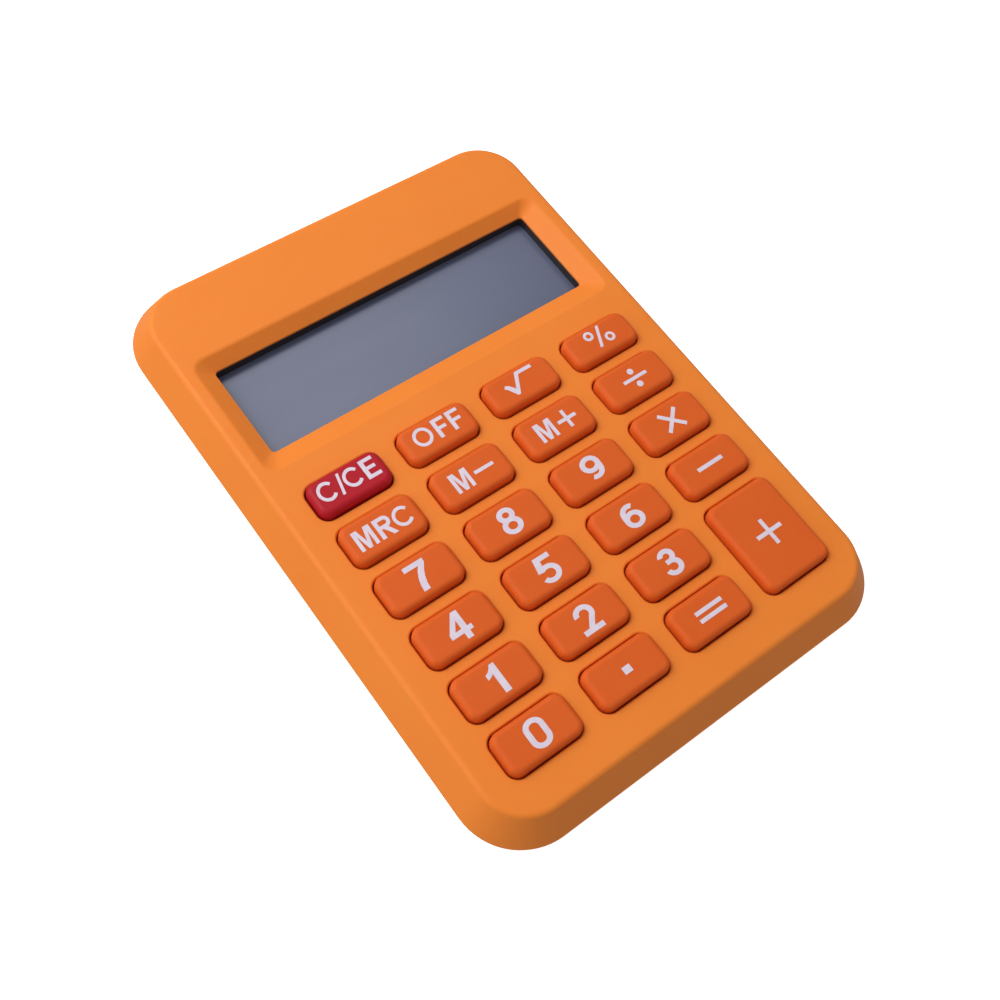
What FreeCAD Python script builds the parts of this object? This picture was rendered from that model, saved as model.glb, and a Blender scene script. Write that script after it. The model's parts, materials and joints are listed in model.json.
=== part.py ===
"""A desk calculator as a FreeCAD document: casing, keypad, display stack, board, battery and screws.

Millimetres. +Z points up through the keys and +Y towards the display. The origin is on the table,
under the middle of the case. Each sub-part is written to parts/ under its own name.
"""

import FreeCAD, Part
import math
import os
import re
import Sketcher

SIZES = {
    # heights above the table
    "bottom_z": 0.6,
    "parting_z": 3.7,
    "face_z": 10.0,
    "board_z": 3.9,
    # casing
    "case_width": 86.0,
    "case_length": 119.0,
    "case_corner": 11.8,
    "side_slope": 30.0,
    "front_wall": 1.6,
    "face_thickness": 1.8,
    "face_round": 1.2,
    "rear_inset": 0.2,
    "rear_wall": 3.0,
    "floor_thickness": 1.5,
    "rear_round": 2.2,
    "lip_inset": 2.3,
    "lip_height": 0.9,
    # keypad grid
    "column_pitch": 18.1,
    "row_pitch": 10.4,
    "first_row": 6.2,
    "second_row": -3.75,
    "hole_width": 14.7,
    "hole_length": 8.3,
    "short_length": 7.5,
    "hole_corner": 2.1,
    "hole_round": 0.4,
    # keys
    "key_gap": 0.22,
    "key_draft": 2.0,
    "key_round": 1.0,
    "key_rise": 1.6,
    "key_skin": 1.3,
    "hollow_ease": 0.4,
    "key_lift": 0.05,
    "flange_reach": 0.3,
    "flange_height": 1.4,
    "key_foot": 2.2,
    # rubber mat and its domes
    "mat_width": 74.0,
    "mat_length": 62.6,
    "mat_middle": -18.9,
    "mat_corner": 3.0,
    "mat_thickness": 0.6,
    "dome_radius": 3.4,
    "dome_neck": 2.4,
    "dome_height": 2.2,
    "dome_wall": 0.5,
    "pill_radius": 1.6,
    "pill_drop": 1.25,
    "mat_hole": 2.7,
    "post_play": 0.2,
    # display
    "window_width": 67.6,
    "window_length": 19.0,
    "window_middle": 28.7,
    "window_corner": 0.8,
    "recess_width": 74.0,
    "recess_length": 25.5,
    "recess_middle": 27.85,
    "recess_corner": 2.4,
    "recess_depth": 2.0,
    "recess_round": 1.0,
    "window_lip": 0.4,
    "surround_width": 77.0,
    "surround_length": 29.0,
    "frame_height": 1.9,
    "frame_width": 72.0,
    "frame_length": 24.4,
    "glass_width": 73.0,
    "glass_length": 26.4,
    "glass_middle": 28.0,
    "glass_corner": 0.3,
    "glass_thickness": 0.55,
    "film_thickness": 0.2,
    "film_inset": 0.8,
    "ledge": 3.0,
    "rib_x": 37.5,
    "rib_thickness": 0.8,
    "rib_length": 20.0,
    "rib_height": 2.2,
    "zebra_width": 60.0,
    "zebra_length": 2.2,
    "foam_width": 62.0,
    "foam_length": 3.0,
    "foam_y": 35.0,
    "foam_corner": 0.5,
    # circuit board
    "board_width": 75.0,
    "board_length": 91.8,
    "board_middle": -4.5,
    "board_corner": 2.0,
    "board_thickness": 1.0,
    "chip_x": -12.0,
    "chip_y": 27.0,
    "chip_radius": 5.0,
    "chip_height": 0.7,
    "chip_crown": 0.56,
    "chip_spacing": 3.0,
    "capacitor_shift": 2.0,
    "small_part": 1.6,
    "small_part_height": 0.6,
    "post_radius": 1.15,
    "post_pilot": 0.6,
    "board_shank": 0.56,
    "board_hole": 0.8,
    "board_head": 1.25,
    "board_head_height": 0.6,
    "board_shank_length": 4.0,
    # battery bay
    "battery_x": 12.0,
    "battery_y": 49.0,
    "cell_radius": 5.8,
    "cap_radius": 4.6,
    "cap_height": 0.4,
    "cell_height": 3.1,
    "cell_z": 1.9,
    "bay_radius": 6.2,
    "bay_outer": 7.2,
    "bay_ceiling": 5.5,
    "bay_roof": 6.2,
    "bay_slot": 7.6,
    "bay_slot_length": 4.0,
    "bay_slot_corner": 0.2,
    "bay_slot_shift": 1.0,
    "bay_slot_play": 0.1,
    "leaf": 0.25,
    "leaf_width": 3.0,
    "leaf_shift": 2.0,
    "plus_leg": 1.3,
    "plus_arm": 3.6,
    "plus_play": 0.3,
    "minus_arm": 8.0,
    "minus_foot": 1.6,
    "minus_play": 0.25,
    "cell_play": 0.05,
    "door_width": 22.0,
    "door_length": 13.4,
    "door_shift": 3.6,
    "door_corner": 1.6,
    "door_thickness": 1.2,
    "door_gap": 0.15,
    "door_rim": 0.8,
    "door_screw_x": 23.2,
    "door_boss": 2.0,
    "door_boss_top": 5.0,
    "door_pilot": 0.72,
    "door_pilot_end": 0.3,
    "door_hole_play": 0.1,
    "door_shank": 0.68,
    "door_shank_length": 3.2,
    "door_head": 1.4,
    "door_head_height": 0.6,
    "door_sink": 1.6,
    "door_sink_depth": 0.7,
    # case screws and feet
    "boss_radius": 2.5,
    "boss_pilot": 0.9,
    "boss_depth": 4.2,
    "upper_screw_x": 33.0,
    "upper_screw_y": 51.0,
    "lower_screw_x": 31.0,
    "lower_screw_y": -53.6,
    "case_hole": 1.05,
    "counterbore": 2.15,
    "counterbore_depth": 1.8,
    "case_head": 1.9,
    "case_head_height": 1.2,
    "case_shank": 0.85,
    "case_shank_length": 5.2,
    "cross_span": 1.3,
    "cross_width": 0.45,
    "cross_depth": 0.5,
    "foot_x": 34.0,
    "foot_y": 41.0,
    "foot_radius": 4.0,
    "foot_height": 1.0,
    "foot_play": 0.1,
}

# name, column and row of each key; the plus key is apart because it covers two rows
KEYS = [
    ("clear", 0, 1), ("off", 1, 1), ("root", 2, 1), ("percent", 3, 1),
    ("memory_recall", 0, 2), ("memory_minus", 1, 2), ("memory_plus", 2, 2), ("divide", 3, 2),
    ("7", 0, 3), ("8", 1, 3), ("9", 2, 3), ("multiply", 3, 3),
    ("4", 0, 4), ("5", 1, 4), ("6", 2, 4), ("minus", 3, 4),
    ("1", 0, 5), ("2", 1, 5), ("3", 2, 5),
    ("0", 0, 6), ("point", 1, 6), ("equals", 2, 6),
]
COLUMNS_IN_ROW = {1: 4, 2: 4, 3: 4, 4: 4, 5: 3, 6: 3}
# the posts that carry the board: gap between columns, and the row whose middle they stand beside
POSTS = [(-1, 1.5), (1, 1.5), (-1, 3.5), (1, 3.5), (-1, 5.5), (0, 5.5)]

doc = FreeCAD.newDocument("calculator")
sheet = doc.addObject("Spreadsheet::Sheet", "sizes")
for line, (alias, size) in enumerate(SIZES.items(), start=1):
    sheet.set("A%d" % line, alias)
    sheet.set("B%d" % line, str(size))
    sheet.setAlias("B%d" % line, alias)
doc.recompute()
nodes = []


# ---------------------------------------------------------------- sizes

def cells(expression):
    """The expression, with each size name turned into a reference to the sheet's cell."""
    return re.sub(r"[a-z]\w*", lambda m: "sizes." + m[0] if m[0] in SIZES else m[0], expression)


def number(expression):
    """What an expression comes to, used to draw a sketch close to its final shape."""
    return float(sheet.evalExpression(cells(expression)))


def bind(thing, **sizes):
    """Binds properties to expressions. A double underscore in a name stands for a dot."""
    for name, expression in sizes.items():
        thing.setExpression(name.replace("__", "."), cells(expression))


def node(thing, label):
    """Names a finished sub-part and keeps it for export."""
    thing.Label = label
    nodes.append(thing)
    return thing


# ---------------------------------------------------------------- sketches

def flat_sketch(body, name, z, x="0", y="0"):
    """An empty sketch parallel to the body's XY plane, with its origin at x, y and z."""
    sketch = body.newObject("Sketcher::SketchObject", name)
    plane = next(f for f in body.Origin.OriginFeatures if f.Role == "XY_Plane")
    sketch.AttachmentSupport = (plane, [""])
    sketch.MapMode = "FlatFace"
    bind(sketch, AttachmentOffset__Base__x=x, AttachmentOffset__Base__y=y, AttachmentOffset__Base__z=z)
    return sketch


def name_last(sketch, **sizes):
    """Names the newest dimension of a sketch and ties it to its expression."""
    (name, expression), = sizes.items()
    sketch.renameConstraint(sketch.ConstraintCount - 1, name)
    bind(sketch, **{"Constraints__" + name: expression})


def rounded_outline(sketch, width, length, corner, tag=""):
    """A rounded rectangle about the sketch's origin, from four tangent lines and arcs."""
    half_w, half_l, r = number(width) / 2, number(length) / 2, number(corner)
    start = sketch.GeometryCount
    vector, up = FreeCAD.Vector, FreeCAD.Vector(0, 0, 1)
    for side in range(4):
        turn = FreeCAD.Rotation(up, 90 * side)
        out, along = (half_l, half_w) if side % 2 == 0 else (half_w, half_l)
        first = turn.multVec(vector(-(along - r), -out, 0))
        last = turn.multVec(vector(along - r, -out, 0))
        centre = turn.multVec(vector(along - r, -(out - r), 0))
        sketch.addGeometry(Part.LineSegment(first, last), False)
        swing = math.radians(90 * side - 90)
        sketch.addGeometry(Part.ArcOfCircle(Part.Circle(centre, up, r), swing, swing + math.pi / 2), False)
    pieces = [start + i for i in range(8)]
    for here, after in zip(pieces, pieces[1:] + pieces[:1]):
        sketch.addConstraint(Sketcher.Constraint("Tangent", here, 2, after, 1))
    for side, kind in enumerate(("Horizontal", "Vertical", "Horizontal", "Vertical")):
        sketch.addConstraint(Sketcher.Constraint(kind, pieces[2 * side]))
    for arc in (3, 5, 7):
        sketch.addConstraint(Sketcher.Constraint("Equal", pieces[1], pieces[arc]))
    sketch.addConstraint(Sketcher.Constraint("Symmetric", pieces[3], 3, pieces[7], 3, -1, 1))
    sketch.addConstraint(Sketcher.Constraint("DistanceX", pieces[6], 1, pieces[2], 1, 2 * half_w))
    name_last(sketch, **{"width" + tag: width})
    sketch.addConstraint(Sketcher.Constraint("DistanceY", pieces[0], 1, pieces[4], 1, 2 * half_l))
    name_last(sketch, **{"length" + tag: length})
    sketch.addConstraint(Sketcher.Constraint("Radius", pieces[1], r))
    name_last(sketch, **{"corner" + tag: corner})


def round_outline(sketch, radius):
    """A circle about the sketch's origin."""
    circle = Part.Circle(FreeCAD.Vector(0, 0, 0), FreeCAD.Vector(0, 0, 1), number(radius))
    index = sketch.addGeometry(circle, False)
    sketch.addConstraint(Sketcher.Constraint("Coincident", index, 3, -1, 1))
    sketch.addConstraint(Sketcher.Constraint("Radius", index, number(radius)))
    name_last(sketch, radius=radius)


# ---------------------------------------------------------------- features

def new_body(label):
    return node(doc.addObject("PartDesign::Body", "body_" + label), label)


def pad(body, sketch, height, down=False, taper=None):
    """Adds material from the sketch, upwards unless down is asked for."""
    made = body.newObject("PartDesign::Pad", sketch.Name + "_pad")
    made.Profile = sketch
    made.Reversed = down
    bind(made, Length=height)
    if taper:
        bind(made, TaperAngle=taper)
    doc.recompute()
    return made


def cut(body, sketch, depth, down=False, taper=None):
    """Removes material from the sketch, upwards unless down is asked for, and proves that it did."""
    before = body.Shape.Volume
    made = body.newObject("PartDesign::Pocket", sketch.Name + "_cut")
    made.Profile = sketch
    made.Reversed = not down
    bind(made, Length=depth)
    if taper:
        bind(made, TaperAngle=taper)
    doc.recompute()
    if body.Shape.Volume > before - 1e-6:
        raise RuntimeError(made.Name + " cuts nothing")
    return made


def rounded_pad(body, name, z, height, width, length, corner, x="0", y="0", **how):
    sketch = flat_sketch(body, name, z, x, y)
    rounded_outline(sketch, width, length, corner)
    return pad(body, sketch, height, **how)


def rounded_cut(body, name, z, depth, width, length, corner, x="0", y="0", **how):
    sketch = flat_sketch(body, name, z, x, y)
    rounded_outline(sketch, width, length, corner)
    return cut(body, sketch, depth, **how)


def round_pad(body, name, z, height, radius, x="0", y="0", **how):
    sketch = flat_sketch(body, name, z, x, y)
    round_outline(sketch, radius)
    return pad(body, sketch, height, **how)


def round_cut(body, name, z, depth, radius, x="0", y="0", **how):
    sketch = flat_sketch(body, name, z, x, y)
    round_outline(sketch, radius)
    return cut(body, sketch, depth, **how)


def round_edges(body, name, radius, wanted):
    """Fillets every edge of the body that the test accepts."""
    edges = ["Edge%d" % i for i, e in enumerate(body.Tip.Shape.Edges, start=1) if wanted(e)]
    if not edges:
        raise RuntimeError(name + " finds no edge")
    base = body.Tip
    made = body.newObject("PartDesign::Fillet", name)
    made.Base = (base, edges)
    bind(made, Radius=radius)
    doc.recompute()
    return made


def flat_at(edge, z):
    """True when the whole edge lies at height z."""
    box = edge.BoundBox
    return abs(box.ZMin - z) < 1e-4 and abs(box.ZMax - z) < 1e-4


def cylinder(name, radius, height, x, y, z):
    made = doc.addObject("Part::Cylinder", name)
    bind(made, Radius=radius, Height=height, Placement__Base__x=x, Placement__Base__y=y, Placement__Base__z=z)
    return made


def cone(name, low, high, height, x, y, z):
    made = doc.addObject("Part::Cone", name)
    bind(made, Radius1=low, Radius2=high, Height=height)
    bind(made, Placement__Base__x=x, Placement__Base__y=y, Placement__Base__z=z)
    return made


def block(name, width, length, height, x, y, z):
    """A box centred on x and y, standing on z."""
    made = doc.addObject("Part::Box", name)
    bind(made, Length=width, Width=length, Height=height)
    bind(made, Placement__Base__x="%s - (%s) / 2" % (x, width), Placement__Base__y="%s - (%s) / 2" % (y, length))
    bind(made, Placement__Base__z=z)
    return made


def fused(name, shapes):
    made = doc.addObject("Part::MultiFuse", name)
    made.Shapes = shapes
    return made


def subtract(name, base, tool):
    made = doc.addObject("Part::Cut", name)
    made.Base = base
    made.Tool = tool
    return made


def group(label, members):
    """Several separate solids of one kind under one name."""
    made = doc.addObject("Part::Compound", "group_" + label)
    made.Links = members
    return node(made, label)


def column_x(column):
    """The expression for a column's middle, counting columns from the left."""
    return "%.1f * column_pitch" % (column - 1.5)


def row_y(row):
    """The expression for a row's middle. The short first row stands apart from the even grid."""
    return "first_row" if row == 1 else "second_row - %d * row_pitch" % (row - 2)


CASE_SCREWS = [
    ("-upper_screw_x", "upper_screw_y"), ("upper_screw_x", "upper_screw_y"),
    ("-lower_screw_x", "lower_screw_y"), ("lower_screw_x", "lower_screw_y"),
]
FEET = [("-foot_x", "foot_y"), ("foot_x", "foot_y"), ("-foot_x", "-foot_y"), ("foot_x", "-foot_y")]
POST_PLACES = [("%d * column_pitch" % gap, "second_row - %.1f * row_pitch" % (row - 2)) for gap, row in POSTS]
PLUS_X = column_x(3)
PLUS_Y = "second_row - 3.5 * row_pitch"
PLUS_LENGTH = "hole_length + row_pitch"


# ---------------------------------------------------------------- casing

def front_cover():
    """The visible cover: four sloping sides, the face with its key holes, and the display recess."""
    body = new_body("front_cover")
    under = "face_z - face_thickness"
    rounded_pad(body, "cover_outline", "parting_z", "face_z - parting_z",
                "case_width", "case_length", "case_corner", taper="-side_slope")
    round_edges(body, "face_edge", "face_round", lambda e: flat_at(e, number("face_z")))
    rounded_cut(body, "cover_hollow", "parting_z", under + " - parting_z",
                "case_width - 2 * front_wall", "case_length - 2 * front_wall",
                "case_corner - front_wall", taper="-side_slope")
    rounded_pad(body, "window_surround", under, "recess_depth + window_lip - face_thickness",
                "surround_width", "surround_length", "recess_corner", y="recess_middle", down=True)
    slope = body.newObject("PartDesign::SubtractiveLoft", "display_recess")
    rim = flat_sketch(body, "recess_rim", "face_z", y="recess_middle")
    rounded_outline(rim, "recess_width", "recess_length", "recess_corner")
    sill = flat_sketch(body, "recess_sill", "face_z - recess_depth", y="window_middle")
    rounded_outline(sill, "window_width", "window_length", "window_corner")
    slope.Profile = rim
    slope.Sections = [sill]
    slope.Ruled = True
    body.Tip = slope
    doc.recompute()
    recess_end = number("recess_middle - recess_length / 2 - 0.1")
    round_edges(body, "recess_edge", "recess_round",
          lambda e: flat_at(e, number("face_z")) and recess_end < e.BoundBox.YMin
          and e.BoundBox.YMax < number("recess_middle + recess_length / 2 + 0.1")
          and abs(e.BoundBox.Center.x) < number("recess_width / 2 + 0.1"))
    rounded_cut(body, "window", "face_z - recess_depth", "window_lip",
                "window_width", "window_length", "window_corner", y="window_middle", down=True)
    for row, count in COLUMNS_IN_ROW.items():
        length = "short_length" if row == 1 else "hole_length"
        hole = rounded_cut(body, "holes_row_%d" % row, "face_z", "face_thickness",
                           "hole_width", length, "hole_corner", x=column_x(0), y=row_y(row), down=True)
        across = body.newObject("PartDesign::LinearPattern", "row_%d_pattern" % row)
        across.Originals = [hole]
        across.Direction = (hole.Profile[0], ["H_Axis"])
        across.Occurrences = count
        bind(across, Length="%d * column_pitch" % (count - 1))
        body.Tip = across
        doc.recompute()
    rounded_cut(body, "hole_plus", "face_z", "face_thickness",
                "hole_width", PLUS_LENGTH, "hole_corner", x=PLUS_X, y=PLUS_Y, down=True)
    keypad_end = number("first_row + short_length / 2 + 1")
    keypad_side = number("2 * column_pitch + 1")
    round_edges(body, "hole_edges", "hole_round",
          lambda e: flat_at(e, number("face_z")) and e.BoundBox.YMax < keypad_end
          and e.BoundBox.YMin > number("second_row - 5 * row_pitch") and abs(e.BoundBox.Center.x) < keypad_side)
    for i, (x, y) in enumerate(CASE_SCREWS):
        round_pad(body, "boss_%d" % i, under, under + " - parting_z", "boss_radius", x, y, down=True)
        round_cut(body, "boss_%d_pilot" % i, "parting_z", "boss_depth", "boss_pilot", x, y)
    for i, (x, y) in enumerate(POST_PLACES):
        round_pad(body, "post_%d" % i, under, under + " - board_z", "post_radius", x, y, down=True)
        round_cut(body, "post_%d_pilot" % i, "board_z", under + " - board_z", "post_pilot", x, y)
    for side in ("-", ""):
        rounded_pad(body, "rib_left" if side else "rib_right", "face_z - recess_depth - window_lip", "rib_height",
                    "rib_thickness", "rib_length", "rib_thickness / 4", x=side + "rib_x", y="glass_middle", down=True)


def rear_cover():
    """The tray that closes the case, with the battery bay, the screw seats and the recesses for the feet."""
    body = new_body("rear_cover")
    floor = "bottom_z + floor_thickness"
    rounded_pad(body, "tray_outline", "bottom_z", "parting_z - bottom_z",
                "case_width - 2 * rear_inset", "case_length - 2 * rear_inset", "case_corner - rear_inset")
    round_edges(body, "tray_edge", "rear_round", lambda e: flat_at(e, number("bottom_z")))
    rounded_cut(body, "tray_hollow", floor, "parting_z - bottom_z - floor_thickness",
                "case_width - 2 * rear_wall", "case_length - 2 * rear_wall", "case_corner - rear_wall")
    lip = flat_sketch(body, "lip", "parting_z")
    rounded_outline(lip, "case_width - 2 * lip_inset", "case_length - 2 * lip_inset", "case_corner - lip_inset")
    rounded_outline(lip, "case_width - 2 * rear_wall", "case_length - 2 * rear_wall",
                    "case_corner - rear_wall", tag="_inside")
    pad(body, lip, "lip_height")
    for i, (x, y) in enumerate(CASE_SCREWS):
        round_pad(body, "seat_%d" % i, floor, "parting_z - bottom_z - floor_thickness", "boss_radius", x, y)
        round_cut(body, "seat_%d_sink" % i, "bottom_z", "counterbore_depth", "counterbore", x, y)
        round_cut(body, "seat_%d_hole" % i, "bottom_z + counterbore_depth",
                  "parting_z - bottom_z - counterbore_depth", "case_hole", x, y)
    for i, (x, y) in enumerate(FEET):
        round_cut(body, "foot_%d_seat" % i, "bottom_z", "foot_height - bottom_z", "foot_radius + foot_play", x, y)
    door_x = "battery_x + door_shift"
    rounded_pad(body, "bay_floor", floor, "door_rim", "door_width + 2 * door_rim",
                "door_length + 1.5 * door_rim", "door_corner", x=door_x, y="battery_y")
    round_pad(body, "bay_tower", floor, "bay_roof - bottom_z - floor_thickness", "bay_outer",
              "battery_x", "battery_y")
    round_pad(body, "door_boss_outline", floor, "door_boss_top - bottom_z - floor_thickness", "door_boss",
              "door_screw_x", "battery_y")
    rounded_cut(body, "door_seat", "bottom_z", "door_thickness", "door_width + 2 * door_gap",
                "door_length + 2 * door_gap", "door_corner + door_gap", x=door_x, y="battery_y")
    round_cut(body, "bay", "bottom_z + door_thickness", "bay_ceiling - bottom_z - door_thickness",
              "bay_radius", "battery_x", "battery_y")
    round_cut(body, "door_boss_pilot", "bottom_z + door_thickness",
              "door_boss_top - bottom_z - door_thickness - door_pilot_end", "door_pilot", "door_screw_x", "battery_y")
    rounded_cut(body, "contact_slot", "board_z - bay_slot_play", "bay_ceiling - board_z + bay_slot_play", "bay_slot",
                "bay_slot_length", "bay_slot_corner", x="battery_x", y="battery_y - bay_outer + bay_slot_shift")


def rubber_feet():
    """Four rubber discs pressed into the rear cover; the calculator rests on them."""
    group("rubber_feet", [cylinder("foot_%d" % i, "foot_radius", "foot_height", x, y, "0")
                          for i, (x, y) in enumerate(FEET)])


# ---------------------------------------------------------------- screws

def screw(name, x, y, seat, head, head_height, shank, shank_length):
    """A pan-headed screw that points up, with its head's flat side at seat and a cross in the head."""
    low = "%s - %s" % (seat, head_height)
    shape = fused(name + "_blank", [
        cylinder(name + "_head", head, head_height, x, y, low),
        cylinder(name + "_shank", shank, shank_length, x, y, seat),
    ])
    cross = fused(name + "_cross", [
        block(name + "_slot_x", "cross_span * " + head, "cross_width", "cross_depth", x, y, low),
        block(name + "_slot_y", "cross_width", "cross_span * " + head, "cross_depth", x, y, low),
    ])
    return subtract(name, shape, cross)


def screws():
    """The case screws, the screws that hold the board to the front cover, and the door's screw."""
    case_seat = "bottom_z + counterbore_depth"
    group("case_screws", [screw("case_screw_%d" % i, x, y, case_seat, "case_head", "case_head_height",
                                "case_shank", "case_shank_length")
                          for i, (x, y) in enumerate(CASE_SCREWS)])
    board_seat = "board_z - board_thickness"
    group("board_screws", [screw("board_screw_%d" % i, x, y, board_seat, "board_head", "board_head_height",
                                 "board_shank", "board_shank_length")
                           for i, (x, y) in enumerate(POST_PLACES)])
    door_seat = "bottom_z + door_sink_depth"
    node(screw("door_screw", "door_screw_x", "battery_y", door_seat, "door_head", "door_head_height",
               "door_shank", "door_shank_length"), "battery_door_screw")


# ---------------------------------------------------------------- keypad

def key(name, x, y, length):
    """A keycap: a drafted cap, the flange that keeps it in, a hollow, and the foot that presses its dome."""
    body = new_body("key_" + name)
    top_of_flange = "face_z - face_thickness - key_lift"
    rise = "key_rise + face_thickness + key_lift"
    rounded_pad(body, "cap_" + name, top_of_flange, rise, "hole_width - 2 * key_gap",
                length + " - 2 * key_gap", "hole_corner - key_gap", x=x, y=y, taper="-key_draft")
    round_edges(body, "round_" + name, "key_round", lambda e: flat_at(e, number("face_z + key_rise")))
    rounded_pad(body, "flange_" + name, top_of_flange, "flange_height", "hole_width + 2 * flange_reach",
                length + " + 2 * flange_reach", "hole_corner + flange_reach", x=x, y=y, down=True)
    hollow_low = top_of_flange + " - flange_height"
    depth = "key_rise + face_thickness + key_lift + flange_height - key_skin"
    rounded_cut(body, "hollow_" + name, hollow_low, depth, "hole_width - 2 * key_gap - 2 * key_skin",
                length + " - 2 * key_gap - 2 * key_skin", "hole_corner - key_gap - key_skin + hollow_ease", x=x, y=y)
    round_pad(body, "foot_" + name, hollow_low, depth, "key_foot", x, y)


def keypad():
    """All the keycaps, the rubber mat on the board and the dome that lifts each key."""
    mat = new_body("keypad_mat")
    rounded_pad(mat, "mat_outline", "board_z", "mat_thickness", "mat_width", "mat_length", "mat_corner",
                y="mat_middle")
    places = []
    for name, column, row in KEYS:
        places.append((name, column_x(column), row_y(row), "short_length" if row == 1 else "hole_length"))
    places.append(("plus", PLUS_X, PLUS_Y, PLUS_LENGTH))
    domes = []
    mat_top = "board_z + mat_thickness"
    for name, x, y, length in places:
        key(name, x, y, length)
        round_cut(mat, "mat_hole_" + name, "board_z", "mat_thickness", "mat_hole", x, y)
        outside = cone("dome_skin_" + name, "dome_radius", "dome_neck", "dome_height", x, y, mat_top)
        inside = cone("dome_air_" + name, "dome_radius - dome_wall", "dome_neck - dome_wall",
                      "dome_height - dome_wall", x, y, mat_top)
        pill = cylinder("pill_" + name, "pill_radius", "pill_drop", x, y,
                        mat_top + " + dome_height - dome_wall - pill_drop")
        domes.append(fused("dome_" + name, [subtract("dome_shell_" + name, outside, inside), pill]))
    for i, (x, y) in enumerate(POST_PLACES):
        round_cut(mat, "mat_post_%d" % i, "board_z", "mat_thickness", "post_radius + post_play", x, y)
    group("rubber_domes", domes)


# ---------------------------------------------------------------- display

def display():
    """The liquid crystal stack: mask, films and glasses, and the strips that connect and support it."""
    under = "face_z - recess_depth - window_lip"
    glass_top = under + " - frame_height - film_thickness"
    frame = new_body("lcd_frame")
    ring = flat_sketch(frame, "lcd_frame_outline", under, y="window_middle")
    rounded_outline(ring, "frame_width", "frame_length", "window_corner")
    rounded_outline(ring, "window_width", "window_length", "window_corner", tag="_inside")
    pad(frame, ring, "frame_height", down=True)
    rounded_pad(new_body("lcd_front_polariser"), "front_film", glass_top, "film_thickness",
                "glass_width - 2 * film_inset", "glass_length - ledge", "film_inset",
                y="glass_middle + ledge / 2 - film_inset / 2")
    rounded_pad(new_body("lcd_front_glass"), "front_glass", glass_top + " - glass_thickness", "glass_thickness",
                "glass_width", "glass_length", "glass_corner", y="glass_middle")
    rear_y = "glass_middle + ledge / 2"
    rounded_pad(new_body("lcd_rear_glass"), "rear_glass", glass_top + " - 2 * glass_thickness", "glass_thickness",
                "glass_width", "glass_length - ledge", "glass_corner", y=rear_y)
    film_z = glass_top + " - 2 * glass_thickness - film_thickness"
    rounded_pad(new_body("lcd_reflector"), "rear_film", film_z, "film_thickness",
                "glass_width - 2 * film_inset", "glass_length - ledge - 2 * film_inset", "film_inset", y=rear_y)
    rounded_pad(new_body("zebra_strip"), "zebra", "board_z", glass_top + " - glass_thickness - board_z",
                "zebra_width", "zebra_length", "glass_corner", y="glass_middle - glass_length / 2 + ledge / 2")
    rounded_pad(new_body("foam_strip"), "foam", "board_z", film_z + " - board_z",
                "foam_width", "foam_length", "foam_corner", y="foam_y")


# ---------------------------------------------------------------- board and battery

def circuit_board():
    """The board, with its potted controller and small parts on the side away from the keys."""
    body = new_body("circuit_board")
    under = "board_z - board_thickness"
    rounded_pad(body, "board_outline", under, "board_thickness", "board_width", "board_length", "board_corner",
                y="board_middle")
    for i, (x, y) in enumerate(POST_PLACES):
        round_cut(body, "board_hole_%d" % i, under, "board_thickness", "board_hole", x, y)
    chip = new_body("controller_chip")
    round_pad(chip, "chip_outline", under, "chip_height", "chip_radius", "chip_x", "chip_y", down=True)
    round_edges(chip, "chip_edge", "chip_crown", lambda e: flat_at(e, number(under + " - chip_height")))
    low = under + " - small_part_height"
    group("ceramic_capacitors", [
        block("capacitor_%d" % i, "small_part", "small_part / 2", "small_part_height",
              "chip_x + chip_radius + chip_spacing", "chip_y %s capacitor_shift" % way, low)
        for i, way in enumerate("-+")])
    node(block("resistor", "small_part", "small_part / 2", "small_part_height",
               "chip_x - chip_radius - chip_spacing", "chip_y", low), "chip_resistor")


def battery():
    """The button cell with its two spring contacts, and the door that closes the bay."""
    can = cylinder("cell_can", "cell_radius", "cell_height - cap_height", "battery_x", "battery_y", "cell_z")
    cap = cylinder("cell_cap", "cap_radius", "cap_height", "battery_x", "battery_y",
                   "cell_z + cell_height - cap_height")
    node(fused("cell", [can, cap]), "button_cell")
    plus_x, minus_x = "battery_x - leaf_shift", "battery_x + leaf_shift"
    side_y = "battery_y - cell_radius - plus_play"
    node(fused("side_contact", [
        block("side_leg", "leaf_width", "leaf", "plus_leg", plus_x, side_y, "board_z"),
        block("side_arm", "leaf_width", "plus_arm", "leaf", plus_x, side_y + " - plus_arm / 2", "board_z"),
    ]), "battery_contact_plus")
    leg_y = "battery_y - bay_outer - minus_play"
    arm_z = "cell_z + cell_height + cell_play"
    node(fused("cap_contact", [
        block("cap_arm", "leaf_width", "minus_arm", "leaf", minus_x, leg_y + " + minus_arm / 2 - leaf / 2", arm_z),
        block("cap_leg", "leaf_width", "leaf", arm_z + " - board_z", minus_x, leg_y, "board_z"),
        block("cap_foot", "leaf_width", "minus_foot", "leaf", minus_x, leg_y + " - minus_foot / 2 + leaf / 2",
              "board_z"),
    ]), "battery_contact_minus")
    door = new_body("battery_door")
    rounded_pad(door, "door_outline", "bottom_z", "door_thickness", "door_width", "door_length", "door_corner",
                x="battery_x + door_shift", y="battery_y")
    round_cut(door, "door_sink_hole", "bottom_z", "door_sink_depth", "door_sink", "door_screw_x", "battery_y")
    round_cut(door, "door_hole", "bottom_z + door_sink_depth", "door_thickness - door_sink_depth",
              "door_pilot + door_hole_play", "door_screw_x", "battery_y")


# ---------------------------------------------------------------- check and write

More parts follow.
